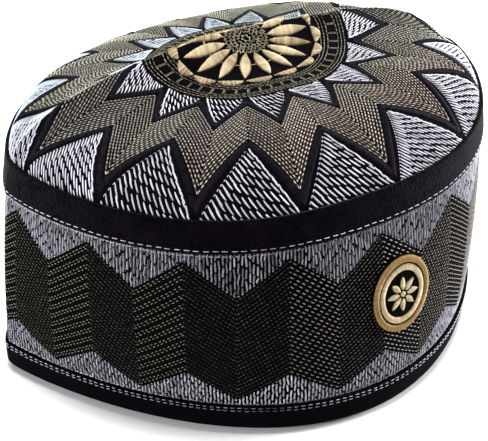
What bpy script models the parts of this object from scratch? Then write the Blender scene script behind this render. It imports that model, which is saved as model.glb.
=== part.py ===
"""A stiff embroidered folding kufi, open and standing on its hem.

Metres. The origin is the middle of the base on the surface the cap stands on. +Z is up, +X runs along
the folded ridge of the crown towards its higher end, and -Y is the front.
"""

import math

import bmesh
import bpy
import numpy as np

# Plan: each level is a pointed oval, |x/length|^p + |y/width|^q = 1, with its points under the ridge
BASE = {"length": 0.1055, "width": 0.0892, "length_power": 2.0, "width_power": 1.13}
RIM = {"length": 0.0950, "width": 0.0803, "length_power": 2.62, "width_power": 1.40}

# Wall
RIM_HEIGHT = 0.0876
RIM_TILT = 0.0049
RIM_END_LIFT = 0.0038
WALL_BULGE = 0.0029
WALL_THICKNESS = 0.0024

# Crown: a ridge along X, and from it a sharp crest, a flat shoulder and a steep fall to the rim
RIDGE_HEIGHT = 0.0330
RIDGE_TILT = -0.0077
RIDGE_LEFT = {"inner_power": 1.39, "outer_power": 0.555}
RIDGE_RIGHT = {"inner_power": 5.05, "outer_power": 1.136}
CREST_DROP = -0.94
SHOULDER_LIFT = 2.85
CROWN_DEPTH = 0.0018
CROWN_EDGE_INSET = 0.0016

# Tapes
GAP = 0.0003
TAPE_THICKNESS = 0.0012
TAPE_BEVEL = 0.0004
RIM_BAND_HEIGHT = 0.0112
RIM_BAND_LIP = 0.0005
HEM_HEIGHT = 0.0124
HEM_FLOOR = 0.0015
HEM_ROUND_DEPTH = 0.0030
HEM_ROUND_HEIGHT = 0.0050
HEM_INNER_BEVEL = 0.0008

# Raised oval patch on the front of the wall, placed by its middle
PATCH_WIDTH = 0.0260
PATCH_HEIGHT = 0.0300
PATCH_RIGHT_OF_FRONT = 0.0139
PATCH_MIDDLE_HEIGHT = 0.0475
PATCH_FIELD = 0.0010
PATCH_BORDER = 0.0016
PATCH_BORDER_INNER = 0.80
PATCH_BORDER_OUTER = 0.97
PATCH_BORDER_SLOPE = 0.03
PATCH_FIELD_RING = 0.4
PATCH_BACK_RING = 0.5

# Mesh fineness
AROUND = 96
PATCH_AROUND = 28
WALL_OUTER_ROWS = 8
WALL_INNER_ROWS = 5
CROWN_SHARES = (0.10, 0.22, 0.36, 0.50, 0.64, 0.76, 0.86, 0.94, 1.0)
HEM_ARC_STEPS = 6
SMOOTH_BELOW = math.radians(38)
NEWTON_STEPS = 14
ANGLE_STEP = 0.004
TABLE_ANGLES = 721
TINY = 1e-9
ALONG_MARGIN = 1e-4

ANGLES = np.arange(AROUND) * 2 * math.pi / AROUND


def clear_scene():
    for thing in list(bpy.data.objects):
        bpy.data.objects.remove(thing, do_unlink=True)


def outline(angles, ring):
    """Points where rays at these angles, on the unit oval, meet the ring's pointed oval."""
    along = np.cos(angles)
    across = np.sin(angles)
    size_along = np.abs(along) + TINY
    size_across = np.abs(across) + TINY
    power_along = ring["length_power"]
    power_across = ring["width_power"]
    reach = np.ones_like(along)
    for _ in range(NEWTON_STEPS):
        part_along = (reach * size_along) ** power_along
        part_across = (reach * size_across) ** power_across
        slope = (power_along * part_along + power_across * part_across) / reach
        reach = reach - (part_along + part_across - 1) / slope
    return np.stack([ring["length"] * reach * along, ring["width"] * reach * across], axis=1)


def rim_height(x):
    share = x / RIM["length"]
    return RIM_HEIGHT + RIM_TILT * share + RIM_END_LIFT * share**2


def wall_plan(angles, share):
    """Plan of the wall's outer face, at a share of the way up from the base to the rim."""
    base = outline(angles, BASE)
    rim = outline(angles, RIM)
    share = np.asarray(share)[:, None]
    away = base / np.linalg.norm(base, axis=1)[:, None]
    return base + (rim - base) * share + away * WALL_BULGE * 4 * share * (1 - share)


def wall_points(angles, height, outward=0.0):
    """Points on the wall's outer face at this height, moved outward along its level normal."""
    height = np.broadcast_to(height, angles.shape)
    share = height / rim_height(outline(angles, RIM)[:, 0])
    here = wall_plan(angles, share)
    tangent = wall_plan(angles + ANGLE_STEP, share) - wall_plan(angles - ANGLE_STEP, share)
    normal = np.stack([tangent[:, 1], -tangent[:, 0]], axis=1)
    normal /= np.linalg.norm(normal, axis=1)[:, None]
    here = here + normal * np.broadcast_to(outward, angles.shape)[:, None]
    return np.column_stack([here, height])


def ridge_rise(x):
    """Height of the ridge above the rim's own curve."""
    share = np.clip(np.abs(x) / RIM["length"], 0, 1)
    left = (1 - share ** RIDGE_LEFT["inner_power"]) ** RIDGE_LEFT["outer_power"]
    right = (1 - share ** RIDGE_RIGHT["inner_power"]) ** RIDGE_RIGHT["outer_power"]
    return (RIDGE_HEIGHT + RIDGE_TILT * x / RIM["length"]) * np.where(x < 0, left, right)


def crown_points(share, angles):
    """Points of the crown's outer face, at a share of the way out from its middle to the rim."""
    rim = outline(angles, RIM)
    x, y = (rim * share).T
    along = np.clip(np.abs(x) / RIM["length"], 0, 1 - ALONG_MARGIN)
    half_width = RIM["width"] * (1 - along ** RIM["length_power"]) ** (1 / RIM["width_power"])
    out = np.clip(np.abs(y) / half_width, 0, 1)
    fall = (1 - out) * (1 + CREST_DROP * out + SHOULDER_LIFT * out**2)
    return np.column_stack([x, y, rim_height(x) + ridge_rise(x) * fall])


def crown_under_points(share, angles):
    points = crown_points(share, angles)
    reach = np.linalg.norm(outline(angles, RIM), axis=1)
    points[:, :2] *= (1 - CROWN_EDGE_INSET / reach * share**2)[:, None]
    points[:, 2] -= CROWN_DEPTH
    return points


def solid_from_rows(name, rows, material, ends=None):
    """A closed solid from rings of points. Without ends the last row joins the first, as in a tube
    bent round the cap. With ends, the first and last rows are closed by a fan to a point each."""
    count = len(rows[0])
    points = np.concatenate(rows)
    faces = []
    steps = len(rows) if ends is None else len(rows) - 1
    for row in range(steps):
        here = row * count
        there = (row + 1) % len(rows) * count
        for step in range(count):
            after = (step + 1) % count
            faces.append((here + step, here + after, there + after, there + step))
    if ends is not None:
        first, last = len(points), len(points) + 1
        points = np.concatenate([points, ends])
        final = (len(rows) - 1) * count
        for step in range(count):
            after = (step + 1) % count
            faces.append((first, after, step))
            faces.append((last, final + step, final + after))
    mesh = bpy.data.meshes.new(name)
    mesh.from_pydata(points.tolist(), [], faces)
    work = bmesh.new()
    work.from_mesh(mesh)
    bmesh.ops.recalc_face_normals(work, faces=work.faces)
    work.to_mesh(mesh)
    work.free()
    mesh.shade_smooth()
    mesh.set_sharp_from_angle(angle=SMOOTH_BELOW)
    mesh.materials.append(material)
    thing = bpy.data.objects.new(name, mesh)
    bpy.context.scene.collection.objects.link(thing)
    return thing


def cloth(name, color, roughness, metallic=0.0):
    material = bpy.data.materials.new(name)
    material.use_nodes = True
    shader = material.node_tree.nodes["Principled BSDF"]
    shader.inputs["Base Color"].default_value = (*color, 1.0)
    shader.inputs["Roughness"].default_value = roughness
    shader.inputs["Metallic"].default_value = metallic
    return material


def make_side_band():
    """One loop of stiff cloth. Its foot stands in the hem binding and its top carries the crown."""
    rim = rim_height(outline(ANGLES, RIM)[:, 0])
    foot = HEM_FLOOR + GAP
    top = rim - CROWN_DEPTH - GAP
    rows = []
    for share in np.linspace(0, 1, WALL_OUTER_ROWS):
        rows.append(wall_points(ANGLES, foot + (top - foot) * share))
    for share in np.linspace(1, 0, WALL_INNER_ROWS):
        rows.append(wall_points(ANGLES, foot + (top - foot) * share, -WALL_THICKNESS))
    material = cloth("silver_thread_cloth", (0.34, 0.34, 0.40), 0.6)
    return solid_from_rows("side_band", rows, material)


def make_crown():
    """The top panel: a thin shell whose edge rests on the wall, inside the rim band."""
    outer = [crown_points(share, ANGLES) for share in CROWN_SHARES]
    under = [crown_under_points(share, ANGLES) for share in reversed(CROWN_SHARES)]
    middle = crown_points(0.0, ANGLES[:1])[0]
    ends = [middle, middle - [0, 0, CROWN_DEPTH]]
    material = cloth("bronze_thread_cloth", (0.30, 0.25, 0.15), 0.6)
    return solid_from_rows("crown", outer + under, material, ends)


def make_rim_band(tape):
    """Plain tape round the top of the wall. It stands just proud of the crown's edge."""
    rim = rim_height(outline(ANGLES, RIM)[:, 0])
    low = rim - RIM_BAND_HEIGHT
    high = rim + RIM_BAND_LIP
    face = GAP + TAPE_THICKNESS
    section = [
        (low, GAP),
        (low, face - TAPE_BEVEL),
        (low + TAPE_BEVEL, face),
        (high - TAPE_BEVEL, face),
        (high, face - TAPE_BEVEL),
        (high, GAP),
    ]
    rows = [wall_points(ANGLES, height, outward) for height, outward in section]
    return solid_from_rows("rim_band", rows, tape)


def make_hem_binding(tape):
    """Tape folded round the foot of the wall, with a rounded outer fold and a flat underside."""
    face = GAP + TAPE_THICKNESS
    inside = -(WALL_THICKNESS + GAP)
    back = inside - TAPE_THICKNESS
    section = [
        (HEM_HEIGHT, face - TAPE_BEVEL),
        (HEM_HEIGHT, GAP),
        (HEM_FLOOR, GAP),
        (HEM_FLOOR, inside),
        (HEM_HEIGHT, inside),
        (HEM_HEIGHT, back),
        (HEM_INNER_BEVEL, back),
        (0.0, back + HEM_INNER_BEVEL),
    ]
    for step in range(HEM_ARC_STEPS + 1):
        turn = math.pi / 2 * step / HEM_ARC_STEPS
        height = HEM_ROUND_HEIGHT * (1 - math.cos(turn))
        section.append((height, face - HEM_ROUND_DEPTH * (1 - math.sin(turn))))
    section.append((HEM_HEIGHT - TAPE_BEVEL, face))
    rows = [wall_points(ANGLES, height, outward) for height, outward in section]
    return solid_from_rows("hem_binding", rows, tape)


def angle_right_of_front(distance, height):
    """The wall angle at this distance along the wall from the middle of the front."""
    angles = np.linspace(-math.pi, 0, TABLE_ANGLES)
    points = wall_points(angles, height)
    lengths = np.concatenate([[0], np.cumsum(np.linalg.norm(np.diff(points, axis=0), axis=1))])
    front = np.interp(-math.pi / 2, angles, lengths)
    return np.interp(front + distance, lengths, angles)


def make_side_patch():
    """An oval patch that follows the wall, with a raised border."""
    turns = np.arange(PATCH_AROUND) * 2 * math.pi / PATCH_AROUND

    def ring(share, outward):
        height = PATCH_MIDDLE_HEIGHT + PATCH_HEIGHT / 2 * share * np.sin(turns)
        distance = PATCH_RIGHT_OF_FRONT + PATCH_WIDTH / 2 * share * np.cos(turns)
        angles = angle_right_of_front(distance, PATCH_MIDDLE_HEIGHT)
        return wall_points(angles, height, outward)

    field = GAP + PATCH_FIELD
    border = GAP + PATCH_BORDER
    section = [
        (PATCH_BACK_RING, GAP),
        (1.0, GAP),
        (1.0, border - TAPE_BEVEL),
        (PATCH_BORDER_OUTER, border),
        (PATCH_BORDER_INNER + PATCH_BORDER_SLOPE, border),
        (PATCH_BORDER_INNER, field),
        (PATCH_FIELD_RING, field),
    ]
    rows = [ring(share, outward) for share, outward in section]
    ends = [ring(0.0, GAP)[0], ring(0.0, field)[0]]
    material = cloth("gold_thread", (0.62, 0.44, 0.18), 0.4, 0.3)
    return solid_from_rows("side_patch", rows, material, ends)


def main():
    clear_scene()
    tape = cloth("black_tape", (0.012, 0.011, 0.018), 0.8)
    make_side_band()
    make_crown()
    make_rim_band(tape)
    make_hem_binding(tape)
    make_side_patch()


main()
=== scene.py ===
"""The looks of a stiff embroidered folding kufi: cloth, tapes and every stitch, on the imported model.

Metres. +Z is up, +X runs along the folded ridge, -Y is the front. Angles round the cap are counted
from +X, and arcs along the wall from its left end, past the front.
"""

import math

import bpy
import numpy as np
from mathutils import Matrix, Vector


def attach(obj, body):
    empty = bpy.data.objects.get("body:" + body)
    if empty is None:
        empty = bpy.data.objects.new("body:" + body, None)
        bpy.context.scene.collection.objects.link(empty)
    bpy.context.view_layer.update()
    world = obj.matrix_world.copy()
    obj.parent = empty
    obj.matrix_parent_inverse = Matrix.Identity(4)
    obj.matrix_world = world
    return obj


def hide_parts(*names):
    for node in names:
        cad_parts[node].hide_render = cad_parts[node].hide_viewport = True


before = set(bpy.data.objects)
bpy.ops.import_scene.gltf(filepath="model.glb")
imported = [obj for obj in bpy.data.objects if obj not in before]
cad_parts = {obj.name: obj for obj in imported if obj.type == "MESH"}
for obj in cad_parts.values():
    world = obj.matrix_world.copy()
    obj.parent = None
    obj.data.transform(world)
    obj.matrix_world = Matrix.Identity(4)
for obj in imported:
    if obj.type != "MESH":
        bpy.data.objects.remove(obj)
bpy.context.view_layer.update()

# Shape of the cap, as in the model
BASE = {"length": 0.1055, "width": 0.0892, "length_power": 2.0, "width_power": 1.13}
RIM = {"length": 0.0950, "width": 0.0803, "length_power": 2.62, "width_power": 1.40}
RIM_HEIGHT = 0.0876
RIM_TILT = 0.0049
RIM_END_LIFT = 0.0038
WALL_BULGE = 0.0029
WALL_THICKNESS = 0.0024
RIDGE_HEIGHT = 0.0330
RIDGE_TILT = -0.0077
RIDGE_LEFT = {"inner_power": 1.39, "outer_power": 0.555}
RIDGE_RIGHT = {"inner_power": 5.05, "outer_power": 1.136}
CREST_DROP = -0.94
SHOULDER_LIFT = 2.85
CROWN_DEPTH = 0.0018
CROWN_EDGE_INSET = 0.0016
CREST_SOFTNESS = 0.012
GAP = 0.0003
TAPE_THICKNESS = 0.0012
TAPE_ROUND = 0.0005
TAPE_FACE = GAP + TAPE_THICKNESS
RIM_BAND_HEIGHT = 0.0112
RIM_BAND_LIP = 0.0005
HEM_HEIGHT = 0.0124
HEM_FLOOR = 0.0015
HEM_ROUND_DEPTH = 0.0030
HEM_ROUND_HEIGHT = 0.0050
PATCH_WIDTH = 0.0260
PATCH_HEIGHT = 0.0300
PATCH_RIGHT_OF_FRONT = 0.0139
PATCH_MIDDLE_HEIGHT = 0.0475

# Zigzag of the wall. Vertices are counted along the wall, and the even ones are peaks.
LEGS = 32
WALL_LENGTH = 0.5817
LEG_ARC = WALL_LENGTH / LEGS
VERTEX_FIVE_ARC = 0.0976
FRONT_ARC = 0.1454
BAND_TOP = {"peak": 0.825, "valley": 0.670}
BAND_FOOT = {"peak": 0.301, "valley": 0.1735}

# Star of the crown. Its turns lean and swing from even ones by a cosine and a few sines, keyed by
# their number of waves. Each edge is a share of the way out, and how much further out it lies towards
# the ends of the cap.
STAR_LEGS = 32
STAR_STEP = 2 * math.pi / STAR_LEGS
STAR_MIDDLE = (-0.0034, -0.0038)
STAR_LEAN = 0.0926
STAR_SWING = {1: 0.0426, 2: 0.0563, 4: -0.0045}
STAR_OUTER_TIP = (0.944, 0.0)
STAR_OUTER_VALLEY = (0.743, 0.022)
STAR_INNER_VALLEY = (0.464, 0.025)
STAR_INNER_TIP = (0.591, 0.0025)
RING_EDGE = (0.389, 0.036)

NEWTON_STEPS = 14
TINY = 1e-9
END_MARGIN = 1e-4

# Steps over which slopes are taken: in angle at one level, on the wall's face, and in plan
LEVEL_STEP = 0.004
FACE_STEP = 0.002
PLAN_STEP = 0.0002


def outline(angles, ring):
    """Points where rays at these angles, on the unit oval, meet the ring's pointed oval."""
    along = np.cos(angles)
    across = np.sin(angles)
    size_along = np.abs(along) + TINY
    size_across = np.abs(across) + TINY
    reach = np.ones_like(along)
    for _ in range(NEWTON_STEPS):
        part_along = (reach * size_along) ** ring["length_power"]
        part_across = (reach * size_across) ** ring["width_power"]
        slope = (ring["length_power"] * part_along + ring["width_power"] * part_across) / reach
        reach = reach - (part_along + part_across - 1) / slope
    return np.stack([ring["length"] * reach * along, ring["width"] * reach * across], axis=-1)


def unit(vectors):
    return vectors / np.linalg.norm(vectors, axis=-1, keepdims=True)


def rim_height(x):
    share = x / RIM["length"]
    return RIM_HEIGHT + RIM_TILT * share + RIM_END_LIFT * share**2


def rim_over(angles):
    return rim_height(outline(angles, RIM)[..., 0])


def wall_place(angles, share, outward=0.0):
    """Points of the wall at a share of the way up, moved outward along the level normal."""
    base = outline(angles, BASE)
    rim = outline(angles, RIM)
    share = np.broadcast_to(share, angles.shape)[..., None]
    plan = base + (rim - base) * share + unit(base) * WALL_BULGE * 4 * share * (1 - share)
    height = share[..., 0] * rim_height(rim[..., 0])
    if np.any(outward):
        ahead = wall_place(angles + LEVEL_STEP, share[..., 0])
        behind = wall_place(angles - LEVEL_STEP, share[..., 0])
        tangent = unit((ahead - behind)[..., :2])
        away = np.stack([tangent[..., 1], -tangent[..., 0]], axis=-1)
        plan = plan + away * np.broadcast_to(outward, angles.shape)[..., None]
    return np.concatenate([plan, height[..., None]], axis=-1)


TABLE_ANGLES = np.linspace(-math.pi, math.pi, 1441)
TABLE_STEPS = np.linalg.norm(np.diff(wall_place(TABLE_ANGLES, 0.5), axis=0), axis=1)
TABLE_ARCS = np.concatenate([[0], np.cumsum(TABLE_STEPS)])
TABLE_ARCS *= WALL_LENGTH / TABLE_ARCS[-1]


def wall_angle(arc):
    return np.interp(np.mod(arc, WALL_LENGTH), TABLE_ARCS, TABLE_ANGLES)


def wall_face(arc, share, outward=0.0):
    """Points and outward normals of the wall's face at arcs and shares of the way up."""
    angles = wall_angle(arc)
    ahead, behind = (wall_place(angles + step, share, outward) for step in (FACE_STEP, -FACE_STEP))
    above, below = (wall_place(angles, share + step, outward) for step in (FACE_STEP, -FACE_STEP))
    return wall_place(angles, share, outward), unit(np.cross(ahead - behind, above - below))


def ridge_rise(x):
    share = np.clip(np.abs(x) / RIM["length"], 0, 1)
    left = (1 - share ** RIDGE_LEFT["inner_power"]) ** RIDGE_LEFT["outer_power"]
    right = (1 - share ** RIDGE_RIGHT["inner_power"]) ** RIDGE_RIGHT["outer_power"]
    return (RIDGE_HEIGHT + RIDGE_TILT * x / RIM["length"]) * np.where(x < 0, left, right)


def crown_height(x, y):
    along = np.clip(np.abs(x) / RIM["length"], 0, 1 - END_MARGIN)
    half_width = RIM["width"] * (1 - along ** RIM["length_power"]) ** (1 / RIM["width_power"])
    out = np.sqrt(np.clip(np.abs(y) / half_width, 0, 1) ** 2 + CREST_SOFTNESS**2)
    fall = (1 - out) * (1 + CREST_DROP * out + SHOULDER_LIFT * out**2)
    return rim_height(x) + ridge_rise(x) * fall


def crown_face(plan):
    """Points and upward normals of the crown's face over plan points."""
    x, y = plan[..., 0], plan[..., 1]
    rise_x = crown_height(x + PLAN_STEP, y) - crown_height(x - PLAN_STEP, y)
    rise_y = crown_height(x, y + PLAN_STEP) - crown_height(x, y - PLAN_STEP)
    here = np.stack([x, y, crown_height(x, y)], axis=-1)
    return here, unit(np.stack([-rise_x, -rise_y, np.full_like(x, 2 * PLAN_STEP)], axis=-1))


def star_plan(turn, share):
    """Plan points of the star: share 0 at its middle, 1 at the rim."""
    swing = sum(size * np.sin(waves * turn) for waves, size in STAR_SWING.items())
    edge = outline(turn + STAR_LEAN * np.cos(turn) + swing, RIM)
    share = np.broadcast_to(share, turn.shape)[..., None]
    return edge * share + np.array(STAR_MIDDLE) * (1 - share)


def star_face(turn, share):
    return crown_face(star_plan(turn, share))


def star_share(edge, turn):
    """Share of the way out of one of the star's edges, at this turn."""
    return edge[0] + edge[1] * np.cos(turn) ** 2


def star_turn(vertex):
    """Turn of the star's valleys, which have even numbers, and its tips."""
    return -math.pi + vertex * STAR_STEP


# Meshes


def add_object(name, data):
    added = bpy.data.objects.new(name, data)
    bpy.context.scene.collection.objects.link(added)
    return added


def mesh_piece(name, points, faces, material, tint=None):
    """A smooth mesh from points and arrays of faces. tint has a value for each point."""
    mesh = bpy.data.meshes.new(name)
    mesh.from_pydata(points, [], [corners for part in faces for corners in part.tolist()])
    mesh.validate()
    mesh.shade_smooth()
    if tint is not None:
        layer = mesh.attributes.new("tint", "FLOAT", "POINT")
        layer.data.foreach_set("value", tint.astype(np.float32))
    mesh.materials.append(material)
    return add_object(name, mesh)


def place(piece, node=None):
    """Rides the cap's one body and may stand for a node of the model."""
    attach(piece, "root")
    if node:
        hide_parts(node)


def ring_quads(rings, around, closed=False):
    """Quads between rings of points, and from the last ring to the first one if closed."""
    ring = np.arange(rings if closed else rings - 1)[:, None]
    low, high = ring * around, (ring + 1) % rings * around
    step = np.arange(around)
    after = (step + 1) % around
    corners = [low + step, low + after, high + after, high + step]
    return np.stack(corners, axis=-1).reshape(-1, 4)


def end_fans(start, end, first_ring, last_ring, around):
    """Triangles that join a start and an end point to the first and the last ring."""
    step = np.arange(around)
    after = (step + 1) % around
    start_fan = np.stack([np.full(around, start), first_ring + after, first_ring + step], axis=1)
    end_fan = np.stack([np.full(around, end), last_ring + step, last_ring + after], axis=1)
    return np.concatenate([start_fan, end_fan])


def tube_of_rows(name, rows, material, ends=None):
    """A closed form from rings of points. Without ends the last ring joins the first one."""
    rows = np.asarray(rows)
    count, around = rows.shape[:2]
    points = rows.reshape(-1, 3)
    faces = [ring_quads(count, around, closed=ends is None)]
    if ends is not None:
        faces.append(end_fans(len(points), len(points) + 1, 0, (count - 1) * around, around))
        points = np.concatenate([points, ends])
    return mesh_piece(name, points, faces, material)


# A thread's section, as shares of its half width and thickness, and how deep its ends dip
THREAD_SECTION = ((-1.0, 0.1), (0.0, 1.0), (1.0, 0.1), (0.0, -0.7))
THREAD_DIP = 0.00012


def bundle(face, half, thick, tint, lift=0.0):
    """Threads over a face, which is the points and normals of their stations, as (threads, stations, 3)
    arrays. Each thread's ends dip into the cloth."""
    here, normals = face
    count, stations = here.shape[:2]

    def spread(value):
        value = np.asarray(value, float)
        if value.shape == (count,):
            value = value[:, None]
        return np.broadcast_to(value, (count, stations))[..., None]

    half, thick, lift = spread(half), spread(thick), spread(lift)
    side = unit(np.cross(unit(np.gradient(here, axis=1)), normals))
    middle = here + normals * lift
    rings = [middle + side * (half * out) + normals * (thick * up) for out, up in THREAD_SECTION]
    inner, around = stations - 2, len(THREAD_SECTION)
    rings = np.stack(rings, axis=2)[:, 1:-1].reshape(count, inner * around, 3)
    start, end = (here[:, [at]] - normals[:, [at]] * THREAD_DIP for at in (0, -1))
    size = inner * around + 2
    first = np.arange(count)[:, None, None] * size
    fans = end_fans(0, size - 1, 1, 1 + (inner - 1) * around, around)
    return {
        "points": np.concatenate([start, rings, end], axis=1).reshape(-1, 3),
        "quads": (first + 1 + ring_quads(inner, around)).reshape(-1, 4),
        "fans": (first + fans).reshape(-1, 3),
        "tint": np.repeat(np.broadcast_to(tint, count), size),
    }


def thread_piece(name, bundles, material):
    """One mesh from bundles of threads."""
    shifts = np.cumsum([0] + [len(one["points"]) for one in bundles])
    faces = [one[kind] + shift for kind in ("quads", "fans") for one, shift in zip(bundles, shifts)]
    points, tint = (np.concatenate([one[kind] for one in bundles]) for kind in ("points", "tint"))
    place(mesh_piece(name, points, faces, material, tint))


def spaced(count):
    """Shares along a thread, closer together towards its ends, so that they stay blunt."""
    return 0.5 - 0.5 * np.cos(np.linspace(0, math.pi, count))


def between(start, end, share):
    """Numbers or points from start to end of each thread, at shares that are the same for all of them
    or have a row for each."""
    share = share if start.ndim == 1 else share[..., None]
    return start[:, None] + (end - start)[:, None] * share


def stations(start, end, count):
    return between(start, end, spaced(count))


def hump(share, power=1.0):
    """0 at both ends of a thread and 1 in its middle."""
    return np.sin(math.pi * share) ** power


def middles(count):
    """Shares at the middles of equal parts."""
    return (np.arange(count) + 0.5) / count


def even_round(count):
    """Angles that part a circle evenly."""
    return np.arange(count) * 2 * math.pi / count


def scattered(random, spread, count):
    """Whole numbers from 0, each moved a little."""
    return np.arange(count) + random.uniform(-spread, spread, count)


def uneven(random, tone, spread, count, least=0.05):
    """A tint round the tone for each thread."""
    return np.clip(tone + random.normal(0, spread, count), least, 1)


# Materials


def fill(tree, node, inputs):
    """Links each of these inputs to an output, or sets it to a number or a colour."""
    for key, value in inputs.items():
        if isinstance(value, bpy.types.NodeSocket):
            tree.links.new(value, node.inputs[key])
        else:
            node.inputs[key].default_value = (*value, 1.0) if isinstance(value, tuple) else value
    return node


def new_material(name, roughness, specular, sheen=0.0, sheen_roughness=0.5):
    material = bpy.data.materials.new(name)
    material.use_nodes = True
    tree = material.node_tree
    looks = {"Roughness": roughness, "Specular IOR Level": specular}
    looks |= {"Sheen Weight": sheen, "Sheen Roughness": sheen_roughness}
    return material, tree, fill(tree, tree.nodes["Principled BSDF"], looks)


def math_node(tree, operation, *values, clamp=False):
    node = tree.nodes.new("ShaderNodeMath")
    node.operation = operation
    node.use_clamp = clamp
    return fill(tree, node, dict(enumerate(values))).outputs[0]


def mix_colors(tree, share, dark, light):
    node = tree.nodes.new("ShaderNodeMix")
    node.data_type = "RGBA"
    return fill(tree, node, {"Factor": share, "A": dark, "B": light}).outputs["Result"]


def object_place(tree):
    return tree.nodes.new("ShaderNodeTexCoord").outputs["Object"]


def noise(tree, scale, detail=3.0):
    inputs = {"Scale": scale, "Detail": detail, "Vector": object_place(tree)}
    return fill(tree, tree.nodes.new("ShaderNodeTexNoise"), inputs).outputs["Fac"]


def place_parts(tree):
    return fill(tree, tree.nodes.new("ShaderNodeSeparateXYZ"), {"Vector": object_place(tree)}).outputs


def ramp(tree, value, start, end):
    """0 to 1 as the value goes from start to end."""
    return math_node(tree, "DIVIDE", math_node(tree, "SUBTRACT", value, start), end - start, clamp=True)


def swing(tree, value, size):
    """A value of 0 to 1 made to go round 0, by half the size each way."""
    return math_node(tree, "MULTIPLY", math_node(tree, "SUBTRACT", value, 0.5), size)


def finish_looks(tree, shader, color, height, distance):
    """Gives the shader its colour, and a bump of this height over this distance."""
    relief = fill(tree, tree.nodes.new("ShaderNodeBump"), {"Distance": distance, "Height": height})
    fill(tree, shader, {"Base Color": color, "Normal": relief.outputs["Normal"]})


# Scales of the noise in a material: uneven patches and fibres of thread, and coarse and fine wear
THREAD_PATCHES = 260
THREAD_FIBRES = 2600
COARSE_WEAR = 160
FINE_WEAR = 1100


def thread_material(name, dark, light, other_light=None, axis=0, span=(0.0, 1.0), gloss=0.12, sheen=0.06):
    """Thread whose shade follows its tint. The light shade may turn into another one over a span of one
    axis of the cap."""
    material, tree, shader = new_material(name, 0.6, gloss, sheen)
    patches = swing(tree, noise(tree, THREAD_PATCHES), 0.36)
    fibres = noise(tree, THREAD_FIBRES, 2.0)
    tint = tree.nodes.new("ShaderNodeAttribute")
    tint.attribute_name = "tint"
    share = math_node(tree, "ADD", tint.outputs["Fac"], patches)
    share = math_node(tree, "ADD", share, swing(tree, fibres, 0.45), clamp=True)
    if other_light:
        light = mix_colors(tree, ramp(tree, place_parts(tree)[axis], *span), light, other_light)
    finish_looks(tree, shader, mix_colors(tree, share, dark, light), fibres, 0.00008)
    return material


def cloth_material(name, dark, light, rib_pitch, ribs_round, sheen=0.0, wear=1.0):
    """Black cloth with fine diagonal ribs, round the cap or, on the crown, across it, and worn dye."""
    material, tree, shader = new_material(name, 0.9, 0.02, sheen, 0.3)
    x, y, z = place_parts(tree)
    if ribs_round:
        level = math_node(tree, "MULTIPLY", math_node(tree, "ARCTAN2", y, x), ribs_round)
        diagonal = math_node(tree, "ADD", level, math_node(tree, "MULTIPLY", z, 2 * math.pi / rib_pitch))
    else:
        diagonal = math_node(tree, "MULTIPLY", math_node(tree, "ADD", x, y), 2 * math.pi / rib_pitch)
    ribs = math_node(tree, "MULTIPLY", math_node(tree, "SINE", diagonal), 0.15)
    coarse = math_node(tree, "MULTIPLY", noise(tree, COARSE_WEAR, 4.0), 0.6 * wear)
    fine = math_node(tree, "MULTIPLY", noise(tree, FINE_WEAR), 0.9 * wear)
    even = math_node(tree, "SUBTRACT", ribs, 0.75 * wear - 0.35)
    share = math_node(tree, "ADD", math_node(tree, "ADD", coarse, fine), even, clamp=True)
    finish_looks(tree, shader, mix_colors(tree, share, dark, light), share, 0.00012 * wear)
    return material


# The light shades of silver and bronze turn cooler towards the back of the cap: a painted reflection of the
# light behind it
SILVER = thread_material(
    "silver_thread", (0.042, 0.040, 0.050), (0.70, 0.685, 0.76), (0.53, 0.60, 0.66), 1, (-0.010, 0.035)
)
BRONZE = thread_material(
    "bronze_thread", (0.020, 0.016, 0.014), (0.76, 0.60, 0.48), (0.56, 0.535, 0.42), 1, (-0.060, -0.015)
)
OLIVE = thread_material(
    "olive_thread", (0.009, 0.007, 0.008), (0.30, 0.275, 0.20), (0.34, 0.30, 0.265), 0, (-0.070, -0.035)
)
GOLD = thread_material("gold_thread", (0.15, 0.09, 0.030), (0.67, 0.55, 0.34), gloss=0.35)
BRASS = thread_material("brass_thread", (0.17, 0.09, 0.022), (0.40, 0.25, 0.075), gloss=0.35)
DULL_GOLD = thread_material("dull_gold_thread", (0.030, 0.026, 0.020), (0.46, 0.41, 0.28))
BLACK = thread_material(
    "black_thread", (0.0012, 0.0008, 0.0019), (0.0100, 0.0070, 0.0145), gloss=0.05, sheen=0.0
)
GROUND = cloth_material("black_ground", (0.0004, 0.0003, 0.0004), (0.0036, 0.0027, 0.0031), 0.0009, 640)
CROWN_GROUND = cloth_material(
    "crown_ground", (0.0006, 0.0004, 0.0007), (0.0055, 0.0040, 0.0065), 0.0009, 0
)
TAPE = cloth_material(
    "black_tape", (0.0001, 0.0001, 0.0002), (0.0044, 0.0020, 0.0062), 0.0008, 720, sheen=0.075, wear=2.6
)
HEM_TAPE = cloth_material("hem_tape", (0.0002, 0.0002, 0.0004), (0.0026, 0.0023, 0.0042), 0.0008, 720)


# Cloth and tapes

CLOTH_AROUND = 384
WALL_ROWS = 44
WALL_BACK_ROWS = 9
CROWN_ROWS = 56
CROWN_FIRST_SHARE = 0.02
ROUND_STEPS = 4
HEM_ROUND_STEPS = 9
HEM_BACK_CHAMFER = 0.0008

# Waves of a tape's ripple, as their number round the cap, size and start, and the ripple's height
TAPE_WAVES = ((7, 1.0, 0.4), (17, 0.6, 1.9), (29, 0.4, 0.0))
RIM_RIPPLE = 0.00006
HEM_RIPPLE = 0.00005


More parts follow.
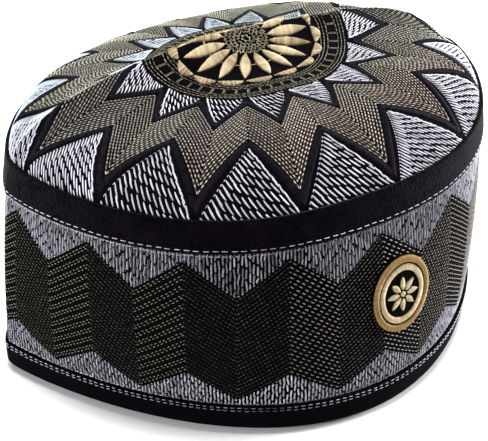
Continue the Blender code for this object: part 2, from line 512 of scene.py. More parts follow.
def build_side_cloth():
    angles = wall_angle(VERTEX_FIVE_ARC + np.arange(CLOTH_AROUND) * WALL_LENGTH / CLOTH_AROUND)
    rim = rim_over(angles)
    foot = (HEM_FLOOR + GAP) / rim
    top = 1 - (CROWN_DEPTH + GAP) / rim
    outside = [(share, 0.0) for share in np.linspace(0, 1, WALL_ROWS)]
    inside = [(share, -WALL_THICKNESS) for share in np.linspace(1, 0, WALL_BACK_ROWS)]
    rows = [wall_place(angles, foot + (top - foot) * share, outward) for share, outward in outside + inside]
    place(tube_of_rows("side_cloth", rows, GROUND), "side_band")


def build_crown_cloth():
    rim = outline(even_round(CLOTH_AROUND), RIM)
    reach = np.linalg.norm(rim, axis=1)
    rows, under = [], []
    for share in np.linspace(CROWN_FIRST_SHARE, 1, CROWN_ROWS):
        plan = rim * share
        height = crown_height(*plan.T)
        inset = plan * (1 - CROWN_EDGE_INSET / reach * share**2)[:, None]
        rows.append(np.column_stack([plan, height]))
        under.append(np.column_stack([inset, height - CROWN_DEPTH]))
    rows += under[::-3][:-1] + [under[0]]
    middle = np.array([0.0, 0.0, crown_height(0.0, 0.0)])
    piece = tube_of_rows("crown_cloth", rows, CROWN_GROUND, [middle, middle - [0, 0, CROWN_DEPTH]])
    place(piece, "crown")


def build_tape(name, section, ripple, material, node):
    """A slightly rippled tape round the cap. A row of its section has a height, 1 where that counts from
    the rim or 0 where it counts from the floor, and how far out it lies."""
    angles = even_round(CLOTH_AROUND)
    rim = rim_over(angles)
    waves = sum(size * np.sin(number * angles + start) for number, size, start in TAPE_WAVES)
    rows = []
    for height, follow, outward in section:
        moved = outward + ripple * waves * np.clip(outward / TAPE_FACE, 0, 1)
        rows.append(wall_place(angles, (height + follow * rim) / rim, moved))
    place(tube_of_rows(name, rows, material), node)


def quarter_round(height, depth, steps):
    """How far up and how far in the places of a rounded corner lie, from its foot to its face."""
    turns = np.linspace(0, math.pi / 2, steps)
    return [(height * (1 - math.cos(turn)), depth * (1 - math.sin(turn))) for turn in turns]


def build_rim_tape():
    low, high = -RIM_BAND_HEIGHT, RIM_BAND_LIP
    corner = quarter_round(TAPE_ROUND, TAPE_ROUND, ROUND_STEPS)
    section = [(low, 1, GAP)]
    section += [(low + rise, 1, TAPE_FACE - inset) for rise, inset in corner]
    section += [(low + (high - low) * share, 1, TAPE_FACE) for share in np.linspace(0.15, 0.85, 7)]
    section += [(high - rise, 1, TAPE_FACE - inset) for rise, inset in reversed(corner)]
    section.append((high, 1, GAP))
    build_tape("rim_tape", section, RIM_RIPPLE, TAPE, "rim_band")


def build_hem_tape():
    inside = -(WALL_THICKNESS + GAP)
    back = inside - TAPE_THICKNESS
    profile = [
        (HEM_HEIGHT, TAPE_FACE - TAPE_ROUND),
        (HEM_HEIGHT, GAP),
        (HEM_FLOOR, GAP),
        (HEM_FLOOR, inside),
        (HEM_HEIGHT, inside),
        (HEM_HEIGHT, back),
        (HEM_BACK_CHAMFER, back),
        (0.0, back + HEM_BACK_CHAMFER),
    ]
    for rise, inset in quarter_round(HEM_ROUND_HEIGHT, HEM_ROUND_DEPTH, HEM_ROUND_STEPS):
        profile.append((rise, TAPE_FACE - inset))
    profile += [(height, TAPE_FACE) for height in (0.0066, 0.0082, 0.0098, HEM_HEIGHT - TAPE_ROUND)]
    section = [(height, 0, outward) for height, outward in profile]
    build_tape("hem_tape", section, HEM_RIPPLE, HEM_TAPE, "hem_binding")


# Embroidery of the wall

STITCH_THICK = 0.00020
SHORTEST_STITCH = 0.0006


def vertex_arc(vertex):
    return VERTEX_FIVE_ARC + (vertex - 5) * LEG_ARC


def zigzag(arc, levels):
    """Share of the wall's height of a zigzag edge at these arcs."""
    vertex = (arc - VERTEX_FIVE_ARC) / LEG_ARC + 5
    valley = 1 - np.abs(np.mod(vertex, 2) - 1)
    return levels["peak"] + (levels["valley"] - levels["peak"]) * valley


def upright_stitches(low, high, arc, length, gap, random):
    """Start, end and arc of the stitches that fill upright columns between two heights' shares."""
    pitch = (length + gap) / RIM_HEIGHT
    most = int(math.ceil((high - low).max() / pitch)) + 2
    odd = (np.arange(len(arc)) % 2)[:, None]
    shift = odd * 0.5 + random.uniform(-0.12, 0.12, (len(arc), most))
    start = low[:, None] + (np.arange(most) - shift) * pitch
    end = start + length / RIM_HEIGHT * random.uniform(0.9, 1.05, start.shape)
    start, end = np.maximum(start, low[:, None]), np.minimum(end, high[:, None])
    keep = end - start > SHORTEST_STITCH / RIM_HEIGHT
    return start[keep], end[keep], np.broadcast_to(arc[:, None], start.shape)[keep]


def wall_threads(arcs, shares, count, half, thick, tint, lift=0.0, sway=0.0, outward=0.0):
    """Threads from the first to the second of two arcs and of two shares of the way up."""
    sideways = np.asarray(sway)[..., None] * np.sin(np.linspace(0, 2 * math.pi, count))
    face = wall_face(stations(*arcs, count) + sideways, stations(*shares, count), outward)
    return bundle(face, half, thick, tint, lift)


def side_light(arc):
    """Share of painted side light: 0 at the front and back of the cap and 1 at its ends."""
    return np.abs(np.cos(wall_angle(arc)))


def right_of_front(arc):
    """1 over most of the right half of the cap, where the photograph shows it brighter, else 0. Tints there
    get painted light from it.
    """
    return np.clip(3 * np.sin((arc - VERTEX_FIVE_ARC) / WALL_LENGTH * 2 * math.pi), 0, 1)


SILVER_COLUMNS = LEGS * 14
SILVER_PITCH = WALL_LENGTH / SILVER_COLUMNS
SILVER_TOP = 1 - (RIM_BAND_HEIGHT + 0.0003) / RIM_HEIGHT
SILVER_FOOT = (HEM_HEIGHT - 0.0004) / RIM_HEIGHT
SILVER_EDGE = 0.0006 / RIM_HEIGHT
EDGE_DASHES = 264
EDGE_DASH_LENGTH = 0.0019


def build_side_silver():
    """Columns of silver stitches over and under the zigzag, with a small knot where they meet it, and a
    row of dashes along each tape. Thin stitches lie between the columns at the ends and on the right. All
    of them have painted light in their tint towards the ends of the cap, and the columns also on its right."""
    random = np.random.default_rng(11)
    arc = VERTEX_FIVE_ARC + (np.arange(SILVER_COLUMNS) + 0.5) * SILVER_PITCH
    bundles = []
    upper = (zigzag(arc, BAND_TOP) + SILVER_EDGE, np.full(SILVER_COLUMNS, SILVER_TOP))
    lower = (np.full(SILVER_COLUMNS, SILVER_FOOT), zigzag(arc, BAND_FOOT) - SILVER_EDGE)
    for field, shift, length, gap, half, taper, count, tone, painted_side_tone, painted_right_tone in (
        (upper, 0.0, 0.0044, -0.00010, 0.00030, 0.25, 6, 0.06, 0.40, 0.28),
        (upper, 0.5, 0.0050, 0.0, 0.00011, 0.45, 5, 0.0, 0.26, 0.20),
        (lower, 0.0, 0.0036, 0.00006, 0.00033, 0.40, 6, 0.44, 0.02, 0.04),
        (lower, 0.5, 0.0030, 0.0, 0.00011, 0.45, 5, 0.04, 0.10, 0.10),
    ):
        begin, end, arcs = upright_stitches(*field, arc + shift * SILVER_PITCH, length, gap, random)
        keep = (shift == 0) | (side_light(arcs) > 0.55) | (right_of_front(arcs) > 0.8)
        begin, end, arcs = begin[keep], end[keep], arcs[keep]
        drift = random.normal(0, 0.00006, len(arcs))
        lean = random.normal(0, 0.00011, len(arcs))
        # Painted light towards the ends of the cap and on its right
        tone = tone + painted_side_tone * side_light(arcs) ** 2 + painted_right_tone * right_of_front(arcs)
        tint = uneven(random, tone, 0.10, len(arcs), 0.02)
        sway = random.normal(0, 0.00010, len(arcs))
        width = half * (1 - taper * (1 - hump(spaced(count))))[None, :]
        leaning = arcs + drift - lean, arcs + drift + lean
        bundles.append(wall_threads(leaning, (begin, end), count, width, 0.00024, tint, sway=sway))
    # The rows along the zigzag get painted light towards the ends of the cap
    for level, sign, tone, painted_side_tone in ((BAND_TOP, 1, 0.24, 0.36), (BAND_FOOT, -1, 0.42, 0.12)):
        first = arc - random.uniform(0.0002, 0.0004, SILVER_COLUMNS)
        second = arc + random.uniform(0.0002, 0.0004, SILVER_COLUMNS)
        offset = sign * SILVER_EDGE * random.uniform(0.6, 1.2, (2, SILVER_COLUMNS))
        tint = uneven(random, tone + painted_side_tone * side_light(arc) ** 2, 0.16, SILVER_COLUMNS, 0.04)
        shares = zigzag(first, level) + offset[0], zigzag(second, level) + offset[1]
        bundles.append(wall_threads((first, second), shares, 4, 0.00018, 0.00026, tint, 0.00004))
    # The dashes along the tapes get painted light towards the ends of the cap
    for foot, slope, tone in (
        (SILVER_TOP - 0.0012 / RIM_HEIGHT, 0.001, 0.32),
        (SILVER_FOOT + 0.0006 / RIM_HEIGHT, 0.004, 0.30),
    ):
        arcs = scattered(random, 0.08, EDGE_DASHES) * WALL_LENGTH / EDGE_DASHES
        level = foot + random.normal(0, 0.0006, EDGE_DASHES)
        tint = uneven(random, tone + (0.95 - tone) * side_light(arcs) ** 2, 0.10, EDGE_DASHES, 0.06)
        shares = level, level + random.normal(0, slope, EDGE_DASHES)
        bundles.append(wall_threads((arcs, arcs + EDGE_DASH_LENGTH), shares, 5, 0.00018, 0.00030, tint))
    thread_piece("side_silver_thread", bundles, SILVER)


def leg_dashes(rows, dashes, fill, pairing, stagger, random):
    """Leg, place across, start and end of every dash in the legs of a zigzag. dashes, fill and pairing
    have a value for each leg. Rows are staggered, and a dash, whole or cut, ends at every vertex."""
    leg, row, dash = np.indices((len(dashes), rows, dashes.max() + 1)).reshape(3, -1)
    phase = (row * stagger) % 1.0
    nearer = np.where(row % 2, -1, 1) * pairing[leg]
    across = (row + 0.5 + nearer + random.normal(0, 0.04, len(leg))) / rows
    length = fill[leg] / dashes[leg]
    pitch = (1 - length) / (dashes[leg] - 1)
    start = (dash - phase + random.uniform(-0.05, 0.05, len(leg))) * pitch
    end = np.minimum(start + length, 1.0)
    start = np.maximum(start, 0.0)
    keep = (end - start > 0.2 * length) & (dash < dashes[leg] + (phase > 0))
    return leg[keep], across[keep], start[keep], end[keep]


SIDE_ROWS = 24
# Vertex at which the painted sheen of the zigzag's legs passes from the rising legs to the falling ones
SHEEN_VERTEX = 5

# Legs of the wall's zigzag: dark, bright with a painted sheen, and the same with rows in pairs. Dashes
# along a leg, the share of it that they fill, how far a row moves to its partner, half a thread's width,
# and the tint at the front of the cap with the painted light added towards its ends.
LEG_KINDS = np.array([
    (15, 0.84, 0.0, 0.00015, 0.04, 0.34),
    (9, 0.76, 0.0, 0.00017, 0.42, 0.52),
    (12, 0.70, 0.16, 0.00017, 0.42, 0.52),
])


def build_side_zigzag():
    """Rows of short dull bronze stitches along the legs of the zigzag. Legs that lie towards the light are
    bright with a painted sheen, and the rising ones of those have their rows in pairs. The tint also has
    painted light towards the ends of the cap and on its right."""
    random = np.random.default_rng(23)
    legs = np.arange(LEGS)
    rising = np.where(legs % 2, 1, -1)
    to_right = np.sin((legs + 0.5 - SHEEN_VERTEX) * 2 * math.pi / LEGS)
    painted_light = rising * to_right < 0
    kind = painted_light.astype(int) + (painted_light & (rising > 0))
    dashes, fill, pairing, half, tone, painted_end_tone = LEG_KINDS[kind].T
    # Painted light towards the ends of the cap and on its right
    tone = tone + painted_end_tone * np.abs(to_right) + 0.6 * np.maximum(0, to_right) ** 2
    leg, across, start, end = leg_dashes(SIDE_ROWS, dashes.astype(int), fill, pairing, 0.5, random)

    def share_at(vertex):
        foot, top = (zigzag(vertex_arc(vertex), band) for band in (BAND_FOOT, BAND_TOP))
        return foot + (top - foot) * across

    arc, first = vertex_arc(leg), share_at(leg)
    climb = share_at(leg + 1) - first
    mitre = (start == 0) | (end == 1)
    tint = uneven(random, tone[leg] + 0.12 * mitre, 0.07, len(leg), 0.02)
    arcs = arc + start * LEG_ARC, arc + end * LEG_ARC
    shares = first + climb * start, first + climb * end
    threads = wall_threads(arcs, shares, 4, half[leg], STITCH_THICK, tint)
    thread_piece("side_zigzag_thread", [threads], OLIVE)


def build_topstitches():
    """White running stitch along the foot of the rim tape and, in two rows, along the hem tape. Its tint is
    dim at the front, with painted light towards the ends of the cap and on its right.
    """
    random = np.random.default_rng(5)
    bundles = []
    for pitch, length, half, foot, follow, tone in (
        (0.0032, 0.0023, 0.00012, -RIM_BAND_HEIGHT + 0.0014, 1, -0.08),
        (0.0025, 0.0016, 0.00008, HEM_HEIGHT - 0.0007, 0, -0.30),
        (0.0025, 0.0017, 0.00009, HEM_HEIGHT - 0.0020, 0, -0.30),
    ):
        count = int(round(WALL_LENGTH / pitch))
        arcs = scattered(random, 0.06, count) * WALL_LENGTH / count
        rim = rim_over(wall_angle(arcs))
        share = (foot + random.normal(0, 0.00006, count) + follow * rim) / rim
        # Painted light towards the ends of the cap and on its right; the front stays dim
        painted_light = np.maximum(side_light(arcs), 0.8 * right_of_front(arcs))
        tint = uneven(random, tone + (1 - tone) * painted_light, 0.08, count, 0)
        ends = (arcs, arcs + length), (share, share)
        threads = wall_threads(*ends, 5, half, STITCH_THICK, tint, 0.00003, outward=TAPE_FACE + 0.00002)
        bundles.append(threads)
    thread_piece("topstitch_thread", bundles, SILVER)


# Embroidery of the crown

CROWN_BAND_ROWS = 12
CROWN_BAND_DASHES = 14
OUTLINE_SHARE = 0.050


def build_crown_zigzag():
    """The bronze band of the star: rows of short stitches along its legs, over a dim flat thread. Legs that
    lie towards the light have a painted sheen in their tint.
    """
    random = np.random.default_rng(31)
    legs = np.arange(STAR_LEGS)
    outward = np.where(legs % 2, -1, 1)
    # Legs that lie towards the light get a painted sheen in their tint
    toward_light = outward * np.sin(star_turn(legs + 0.5) + 0.35)
    fill = np.where(toward_light > 0, 0.70, 0.76)
    tone = 0.70 + 0.12 * toward_light
    dashes = np.full(STAR_LEGS, CROWN_BAND_DASHES)
    leg, across, start, end = leg_dashes(CROWN_BAND_ROWS, dashes, fill, np.zeros(STAR_LEGS), 0.27, random)

    def vertex_plan(vertex, across):
        turn, at_tip = star_turn(vertex), vertex % 2
        inner_tip = star_share(STAR_INNER_TIP, turn) + OUTLINE_SHARE
        outer_valley = star_share(STAR_OUTER_VALLEY, turn) - OUTLINE_SHARE
        inner = np.where(at_tip, inner_tip, star_share(STAR_INNER_VALLEY, turn))
        outer = np.where(at_tip, star_share(STAR_OUTER_TIP, turn), outer_valley)
        return star_plan(turn, inner + (outer - inner) * across)

    def rows_plan(leg, across, share):
        return between(vertex_plan(leg, across), vertex_plan(leg + 1, across), share)

    plan = rows_plan(leg, across, stations(start, end, 4))
    over = bundle(crown_face(plan), 0.00020, 0.00026, uneven(random, tone[leg], 0.15, len(leg)))
    leg, row = np.divmod(np.arange(STAR_LEGS * CROWN_BAND_ROWS), CROWN_BAND_ROWS)
    plan = rows_plan(leg, (row + 0.5) / CROWN_BAND_ROWS, spaced(9))
    under = bundle(crown_face(plan), 0.00042, 0.00007, -0.05)
    thread_piece("crown_zigzag_thread", [over, under], BRONZE)


def star_triangle(turn, apex, base, width):
    """Turns and shares of a triangle's corners: its apex and the ends of its base. Its thick side runs
    from the apex to the first end, on the side of the width's sign."""
    return (turn, apex), (turn + width, base), (turn - width, base)


def triangle_point(corners, rise, along):
    """Turns and shares at places in a triangle: rise 0 is its thick side and 1 its far corner, and
    along runs from the open side at 0 to the base at 1."""
    apex, along_corner, far_corner = (np.array(corner)[:, None, None] for corner in corners)
    first = apex + (far_corner - apex) * rise
    second = along_corner + (far_corner - along_corner) * rise
    return first + (second - first) * along


def triangle_size(corners):
    """Length of a triangle's thick side, and how far its far corner lies from that side."""
    points = [star_face(np.array([turn]), np.array([share]))[0][0] for turn, share in corners]
    side = np.linalg.norm(points[1] - points[0])
    return side, np.linalg.norm(np.cross(points[1] - points[0], points[2] - points[0])) / side


# Stitches of the silver triangles: how far they lean over their row and bow out of it, the shortest one,
# the thick side's pitch, half widths, and the tints of those in rows, of hooks and of the thick side
ROW_LEAN = 0.00026
ROW_BOW = 0.00014
ROW_SHORTEST = 0.0004
SIDE_PITCH = 0.0013
HOOK_HALF = 0.00020
SIDE_HALF = 0.00032
SILVER_TONES = (0.64, 0.58, 0.74)


def triangle_stitches(corners, rows, length, gap, random):
    """Places, bend, bow and kind of one triangle's stitches: slanted ones in staggered rows parallel to
    its thick side, hooks from row to row on the open side, and short ones that make the thick side."""
    side, spread = triangle_size(corners)
    lean = ROW_LEAN / spread
    stitches = []
    for row in range(rows):
        rise = (row + 0.80) / (rows + 0.35)
        row_length = side * (1 - rise)
        pitch = (length + gap) / row_length
        shift = (row * 0.57) % 1.0 + random.uniform(-0.10, 0.10)
        for step in range(int(1 / pitch) + 2):
            low = max(0.0, (step - shift + random.uniform(-0.05, 0.05)) * pitch)
            high = min(1.0, low + length * random.uniform(0.92, 1.06) / row_length)
            if low < 1 and (high - low) * row_length > ROW_SHORTEST:
                stitches.append((rise + lean, low, rise - lean, high, 0.0, ROW_BOW / spread, 0))
        if row + 1 < rows:
            hook = rise + lean * 0.4, 0.0002 / side, rise + 0.66 / (rows + 0.35), -0.0003 / side
            stitches.append((*hook, 0.0006 / side, 0.0, 1))
    count = int(side / SIDE_PITCH)
    for step in range(count):
        wander = random.normal(0, 0.9, 2) * lean
        stitches.append((wander[0], step / count, wander[1], min(1.0, (step + 1.7) / count), 0.0, 0.0, 2))
    return np.array(stitches).T


FRONT_TURN = -2.02
OUTER_WIDTH = STAR_STEP * 0.92
INNER_WIDTH = STAR_STEP * -0.84


def build_crown_silver():
    """Silver triangles: the outer ones stand on the rim tape, and the inner ones on the ring. Those
    away from the front are denser and have painted light in their tint."""
    random = np.random.default_rng(47)
    bundles = []
    triangles = []
    for turn in star_turn(np.arange(0, STAR_LEGS, 2)):
        corners = star_triangle(turn, star_share(STAR_OUTER_VALLEY, turn) + 0.002, 0.999, OUTER_WIDTH)
        triangles.append((corners, 15, 0.0044, 0.0003, 0.0))
    for turn in star_turn(np.arange(1, STAR_LEGS, 2)):
        apex, base = star_share(STAR_INNER_TIP, turn) - 0.002, star_share(RING_EDGE, turn) + 0.016
        triangles.append((star_triangle(turn, apex, base, INNER_WIDTH), 8, 0.0035, 0.00025, 0.12))
    for corners, rows, length, gap, more_tone in triangles:
        # How far a triangle lies from the front: it makes its rows denser and paints light into their tint
        dense_and_painted_light = min(1.0, max(0.0, (abs(corners[0][0] - FRONT_TURN) - 0.4) / 0.35))
        rows = round(rows * (1 + 0.6 * dense_and_painted_light**2))
        stitches = triangle_stitches(corners, rows, length, gap, random)
        rise_start, along_start, rise_end, along_end, bend, bow, kind = stitches
        kind = kind.astype(int)
        share = spaced(7)
        rise = between(rise_start, rise_end, share) + bow[:, None] * hump(share)
        along = between(along_start, along_end, share) - bend[:, None] * hump(share)
        face = star_face(*triangle_point(corners, rise, along))
        row_half = triangle_size(corners)[1] / rows * (0.170 + 0.09 * dense_and_painted_light)
        half = np.choose(kind, (row_half, HOOK_HALF, SIDE_HALF))
        tone = np.choose(kind, SILVER_TONES) + 0.20 * dense_and_painted_light + more_tone
        tint = uneven(random, tone, 0.13, len(kind), 0.2)
        width = half[:, None] * (0.42 + 0.58 * hump(share, 0.8))
        bundles.append(bundle(face, width, half * 0.8, tint, 0.00003))
    thread_piece("crown_silver_thread", bundles, SILVER)


def quarter_turn(along):
    return np.array([-along[1], along[0]])


OUTLINE_PITCH = 0.00055
OUTLINE_HALF = 0.0015
OUTLINE_SLANT = 0.0005
OUTLINE_DOME = np.array([[0, 0.00012, 0.0002, 0.00012, 0]])


def build_crown_outline():
    """The thick black edges of the bronze band: short slanted stitches laid side by side."""
    random = np.random.default_rng(53)
    bundles = []
    for tip, valley, tip_move in (
        (STAR_OUTER_TIP, STAR_OUTER_VALLEY, 0.030),
        (STAR_INNER_TIP, STAR_INNER_VALLEY, 0.024),
    ):
        for leg in range(STAR_LEGS):
            vertex = np.array([leg, leg + 1])
            turn = star_turn(vertex)
            share = np.where(vertex % 2, star_share(tip, turn) + tip_move, star_share(valley, turn) - 0.026)
            start, end = star_plan(turn, share)
            length = np.linalg.norm(end - start)
            count = int(length / OUTLINE_PITCH)
            along = (end - start) / length
            side = quarter_turn(along)
            middle = start + (end - start) * middles(count)[:, None]
            middle = middle + random.normal(0, 0.00006, (count, 1)) * side
            edge = side * OUTLINE_HALF + along * OUTLINE_SLANT
            tint = uneven(random, 0.4, 0.2, count, 0)
            plan = between(middle - edge, middle + edge, np.linspace(0, 1, 5))
            bundles.append(bundle(crown_face(plan), 0.00034, 0.00022, tint, OUTLINE_DOME))
    thread_piece("crown_outline_thread", bundles, BLACK)


# Medallion in the middle of the crown

ROSE_MIDDLE = np.array([-0.0032, -0.0043])
ROSE_LENGTH = 0.0256
ROSE_WIDTH = {"front": 0.0187, "back": 0.0208}
PETALS = 16
PETAL_START = 0.35
PETAL_WIDTH = 0.0048
PETAL_PITCH = 0.00042
BAR_SHARE = 0.64
SCALLOP_THREADS = 17
SCALLOP_PITCH = 0.00052
SATIN_STATIONS = 7
SATIN_THICK = 0.0003


def rose_plan(turn, share):
    """Plan points of the medallion: share 0 at its middle, 1 at the petals' tips."""
    width = np.where(np.sin(turn) < 0, ROSE_WIDTH["front"], ROSE_WIDTH["back"])
    offset = np.stack([ROSE_LENGTH * share * np.cos(turn), width * share * np.sin(turn)], axis=-1)
    return ROSE_MIDDLE + offset


def satin(starts, ends, pitch, tint, dome):
    """Threads laid side by side between plan points, over a rounded dome."""
    share = np.linspace(0, 1, SATIN_STATIONS)
    lift = np.asarray(dome)[:, None] * hump(share, 0.7)
    return bundle(crown_face(between(starts, ends, share)), pitch * 0.62, SATIN_THICK, tint, lift)


def petal_threads(turn, random):
    """A leaf of satin stitch. Its threads cross it at a slant, from a stem to a pointed tip."""
    root, tip = rose_plan(np.array([turn, turn]), np.array([PETAL_START, 1.0]))
    length = np.linalg.norm(tip - root)
    along = (tip - root) / length
    across = quarter_turn(along)
    count = int(length / PETAL_PITCH)
    share = middles(count)
    half = PETAL_WIDTH / 2 * hump(share**0.90, 0.85)
    middle = root + along * (share * length)[:, None] + random.normal(0, 0.00005, (count, 1)) * across
    edge = (across + along * 0.25) * half[:, None]
    stripe = np.sin(share * 5 + turn) + 0.5 * np.sin(share * 23 + 2 * turn)
    tint = uneven(random, 0.60 + 0.18 * stripe + random.normal(0, 0.12), 0.12, count)
    return satin(middle - edge, middle + edge, PETAL_PITCH, tint, 0.00022 + half * 0.30)


def scallop_threads(turn, random):
    """A leaf of satin stitch between the tips of two petals, with a gap at each end."""
    share = 0.05 + 0.90 * middles(SCALLOP_THREADS)
    turns = turn + 2 * math.pi / PETALS * share
    swell = hump((share - 0.03) / 0.94, 0.8)
    inner = rose_plan(turns, 1.075 - 0.035 * swell)
    outer = rose_plan(turns + 0.05 * swell, 1.075 + 0.125 * swell)
    tone = 0.42 + 0.18 * np.cos(np.arange(SCALLOP_THREADS) * 2.1)
    tint = uneven(random, tone, 0.14, SCALLOP_THREADS)
    return satin(inner, outer, SCALLOP_PITCH, tint, 0.0001 + 0.0004 * swell)


def zigzag_round(count, inner, outer, tone, random):
    """A ring of short stitches that step in and out, as small loops of thread do."""
    turns = scattered(random, 0.2, count) * 2 * math.pi / count
    after = turns + 2 * math.pi / count * random.uniform(0.7, 1.3, count)
    up = np.arange(count) % 2
    start = rose_plan(turns, np.where(up, inner, outer) + random.normal(0, 0.01, count))
    end = rose_plan(after, np.where(up, outer, inner) + random.normal(0, 0.01, count))
    plan = between(start, end, np.linspace(0, 1, 5))
    return bundle(crown_face(plan), 0.00019, 0.00024, uneven(random, tone, 0.14, count, 0.1), 0.00006)


# Ring round the medallion. Its levels are shares of the way out, and move out towards the ends of the
# cap by a stretch that grows with them. A line has its level, number of stitches, how much of it they
# fill, and tint.
RING_START = 0.300
RING_STRETCH = 0.019
RING_GROWTH = 0.19
RING_LINES = (
    (0.302, 110, 0.90, 0.50),
    (0.314, 112, 0.90, 0.42),
    (0.377, 130, 0.90, 0.42),
    (0.389, 134, 0.90, 0.50),
    (0.327, 92, 0.94, 0.34),
    (0.365, 104, 0.94, 0.34),
)
RING_HALF = 0.00014
RING_THICK = 0.00016
LADDER_STEPS = 46
LADDER_FOOT = 0.328
LADDER_TOP = 0.364
LADDER_HALF_TURN = 0.007


def ring_plan(turn, level):
    stretch = RING_STRETCH + (level - RING_START) * RING_GROWTH
    return star_plan(turn, level + stretch * np.cos(turn) ** 2)


def even_turns(level, count):
    """Turns that share the ring's length at this level into equal parts."""
    turns = np.linspace(-math.pi, math.pi, 721)
    steps = np.linalg.norm(np.diff(ring_plan(turns, level), axis=0), axis=1)
    lengths = np.concatenate([[0], np.cumsum(steps)])
    return np.interp(np.arange(count + 1) / count * lengths[-1], lengths, turns)


def build_ring():
    """Two double lines of running stitch with a ladder between them, and the small loops of thread in
    the middle of the medallion."""
    random = np.random.default_rng(59)
    bundles = []
    for level, count, fill, tone in RING_LINES:
        turns = even_turns(level, count)
        levels = level + random.normal(0, 0.0006, count)[:, None]
        plan = ring_plan(stations(turns[:-1], turns[:-1] + np.diff(turns) * fill, 5), levels)
        tint = uneven(random, tone, 0.18, count, 0.04)
        bundles.append(bundle(crown_face(plan), RING_HALF, RING_THICK, tint))
    for offset in (-LADDER_HALF_TURN, LADDER_HALF_TURN):
        turns = even_turns((LADDER_FOOT + LADDER_TOP) / 2, LADDER_STEPS)[:-1] + offset
        plan = ring_plan(stations(turns, turns, 5), LADDER_FOOT + (LADDER_TOP - LADDER_FOOT) * spaced(5))
        tint = uneven(random, 0.42, 0.14, LADDER_STEPS)
        bundles.append(bundle(crown_face(plan), RING_HALF, RING_THICK, tint))
    for count, inner, outer, tone in (
        (12, 0.045, 0.075, 0.90),
        (30, 0.10, 0.15, 0.45),
        (42, 0.16, 0.22, 0.62),
        (54, 0.22, 0.28, 0.50),
        (64, 0.28, 0.35, 0.60),
    ):
        bundles.append(zigzag_round(count, inner, outer, tone, random))
    thread_piece("medallion_ring_thread", bundles, DULL_GOLD)


def build_medallion():
    """The rosette's petals, the bars between them and the leaves round their tips."""
    random = np.random.default_rng(61)
    bundles = []
    for turn in -math.pi / 2 + even_round(PETALS):
        bundles.append(petal_threads(turn, random))
        bundles.append(scallop_threads(turn, random))
    bars = -math.pi / 2 + (np.arange(PETALS) + 0.5) * 2 * math.pi / PETALS
    spread = math.pi / PETALS * 0.5
    plan = stations(rose_plan(bars - spread, BAR_SHARE), rose_plan(bars + spread, BAR_SHARE), 5)
    bundles.append(bundle(crown_face(plan), 0.00022, 0.0003, 0.5, 0.00006))
    thread_piece("medallion_thread", bundles, GOLD)


# Patch on the front of the wall

PATCH_CLOTH_FACE = 0.0012
PATCH_THREAD_FACE = 0.0013

# Rows of the patch's cloth, as shares of its outline and how far out they lie
PATCH_ROWS = ((0.5, GAP), (1.0, GAP), (1.0, 0.0009), (0.97, PATCH_CLOTH_FACE), (0.5, PATCH_CLOTH_FACE))

ROSETTE_PETALS = 8
ROSETTE_THREADS = 11
ROSETTE_START = 0.0018
ROSETTE_LENGTH = 0.0050
ROSETTE_PETAL_HALF = 0.0013
ROSETTE_MIDDLE = 0.0011
ROSETTE_HALF = 0.00030


def patch_face(distance, height, outward):
    """Points and normals of the wall under the patch, by distance from its middle and height."""
    arc = FRONT_ARC + PATCH_RIGHT_OF_FRONT + distance
    return wall_face(arc, (PATCH_MIDDLE_HEIGHT + height) / rim_over(wall_angle(arc)), outward)


def patch_ring(share, turns):
    return PATCH_WIDTH / 2 * share * np.cos(turns), PATCH_HEIGHT / 2 * share * np.sin(turns)


def patch_satin(start, end, half, tint, lift):
    """Threads between (distance, height) pairs of arrays on the patch's field."""
    share = np.linspace(0, 1, SATIN_STATIONS)
    distance, height = between(start[0], end[0], share), between(start[1], end[1], share)
    face = patch_face(distance, height, PATCH_THREAD_FACE)
    return bundle(face, half, SATIN_THICK, tint, lift * hump(share, 0.6)[None, :])


def build_patch():
    """An oval patch: a padded gold border, a plain satin ring and a small eight-petalled rosette."""
    random = np.random.default_rng(71)
    turns = even_round(96)
    rows = [patch_face(*patch_ring(share, turns), outward)[0] for share, outward in PATCH_ROWS]
    ends = [patch_face(np.zeros(1), 0.0, outward)[0][0] for outward in (GAP, PATCH_CLOTH_FACE)]
    place(tube_of_rows("patch_cloth", rows, GROUND, ends), "side_patch")
    rings = []
    for inner, outer, count, tone, lift in (
        (0.80, 1.0, 190, 0.55, 0.0006),
        (0.60, 0.785, 150, 0.80, 0.0004),
    ):
        turn = even_round(count)
        half = math.pi * PATCH_WIDTH * outer / count * 0.62
        tint = uneven(random, tone, 0.14, count)
        rings.append(patch_satin(patch_ring(inner, turn), patch_ring(outer, turn + 0.05), half, tint, lift))
    thread_piece("patch_border_thread", rings[:1], BRASS)
    bundles = rings[1:]
    for turn in even_round(ROSETTE_PETALS):
        share = middles(ROSETTE_THREADS)
        along = np.array([[math.cos(turn)], [math.sin(turn)]])
        middle = along * (ROSETTE_START + ROSETTE_LENGTH * share)
        edge = quarter_turn(along) * ROSETTE_PETAL_HALF * hump(share**0.85, 0.8)
        tint = uneven(random, 0.7, 0.1, ROSETTE_THREADS, 0.1)
        bundles.append(patch_satin(middle - edge, middle + edge, ROSETTE_HALF, tint, 0.0004))
    turn = even_round(14)
    ring = ROSETTE_MIDDLE * np.array([np.cos(turn), np.sin(turn)])
    bundles.append(patch_satin(ring * 0.1, ring, ROSETTE_HALF, 0.8, 0.0004))
    thread_piece("patch_thread", bundles, GOLD)


# Floor, light and camera

FLOOR_HALF = 4.0
LIGHTS_AIM = Vector((0.0, 0.0, 0.06))

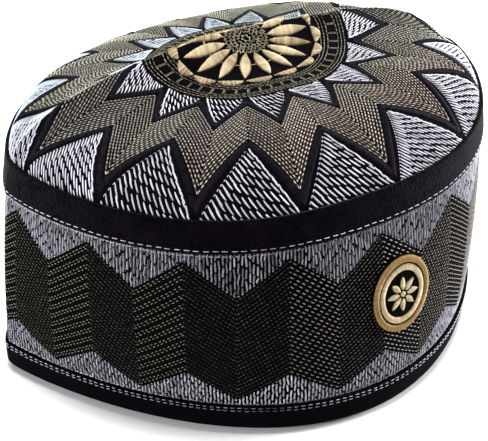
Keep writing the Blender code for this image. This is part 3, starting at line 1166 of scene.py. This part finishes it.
# Place, size, power and colour of each light
LIGHTS = {
    "overhead": ((0.2, 0.04, 3.0), 0.7, 112.0, (1.0, 0.99, 0.98)),
    "left": ((-1.2, 0.1, 0.26), 0.5, 14.0, (0.95, 0.96, 1.0)),
    "right": ((1.25, -0.2, 0.26), 0.5, 42.0, (0.95, 0.96, 1.0)),
    "back": ((0.2, 1.2, 0.9), 0.6, 14.0, (0.82, 1.0, 1.0)),
}
WORLD_STRENGTH = 0.30

CAMERA_LENS = 79.92
CAMERA_TURN = -0.487
CAMERA_TILT = 0.5423
CAMERA_DISTANCE = 0.44691
CAMERA_ROLL = -0.0089
CAMERA_AIM = (-0.00214, -0.00225)
CAMERA_AIM_HEIGHT = 0.038


def build_stage():
    corners = [(x * FLOOR_HALF, y * FLOOR_HALF, 0) for x, y in ((-1, -1), (1, -1), (1, 1), (-1, 1))]
    material, tree, shader = new_material("pale_floor", 0.9, 0.1)
    color = mix_colors(tree, noise(tree, 2.0), (0.92, 0.92, 0.92), (0.94, 0.94, 0.94))
    fill(tree, shader, {"Base Color": color})
    mesh_piece("floor", corners, [np.array([[0, 1, 2, 3]])], material)


def build_lights():
    for name, (place_at, size, power, color) in LIGHTS.items():
        data = bpy.data.lights.new(name, "AREA")
        data.shape = "DISK"
        data.size = size
        data.energy = power
        data.color = color
        light = add_object(name, data)
        light.location = place_at
        light.rotation_euler = (LIGHTS_AIM - Vector(place_at)).to_track_quat("-Z", "Y").to_euler()
    world = bpy.data.worlds.new("studio")
    world.use_nodes = True
    background = world.node_tree.nodes["Background"]
    background.inputs["Color"].default_value = (1.0, 1.0, 1.0, 1.0)
    background.inputs["Strength"].default_value = WORLD_STRENGTH
    bpy.context.scene.world = world
    bpy.context.scene.view_settings.view_transform = "Standard"


def build_camera():
    """The photograph's view: from the front left and above."""
    level_part, height_part = math.cos(CAMERA_TILT), math.sin(CAMERA_TILT)
    back = Vector((math.sin(CAMERA_TURN) * level_part, -math.cos(CAMERA_TURN) * level_part, height_part))
    level = Vector((0, 0, 1)).cross(back).normalized()
    roll = Matrix.Rotation(CAMERA_ROLL, 3, back)
    right, up = roll @ level, roll @ back.cross(level)
    target = right * CAMERA_AIM[0] + up * CAMERA_AIM[1] + Vector((0, 0, CAMERA_AIM_HEIGHT))
    data = bpy.data.cameras.new("camera")
    data.lens = CAMERA_LENS
    camera = add_object("camera", data)
    rotation = Matrix((right, up, back)).transposed().to_4x4()
    camera.matrix_world = Matrix.Translation(target + back * CAMERA_DISTANCE) @ rotation
    bpy.context.scene.camera = camera


build_side_cloth()
build_crown_cloth()
build_rim_tape()
build_hem_tape()
build_side_silver()
build_side_zigzag()
build_topstitches()
build_crown_zigzag()
build_crown_silver()
build_crown_outline()
build_ring()
build_medallion()
build_patch()
build_stage()
build_lights()
build_camera()
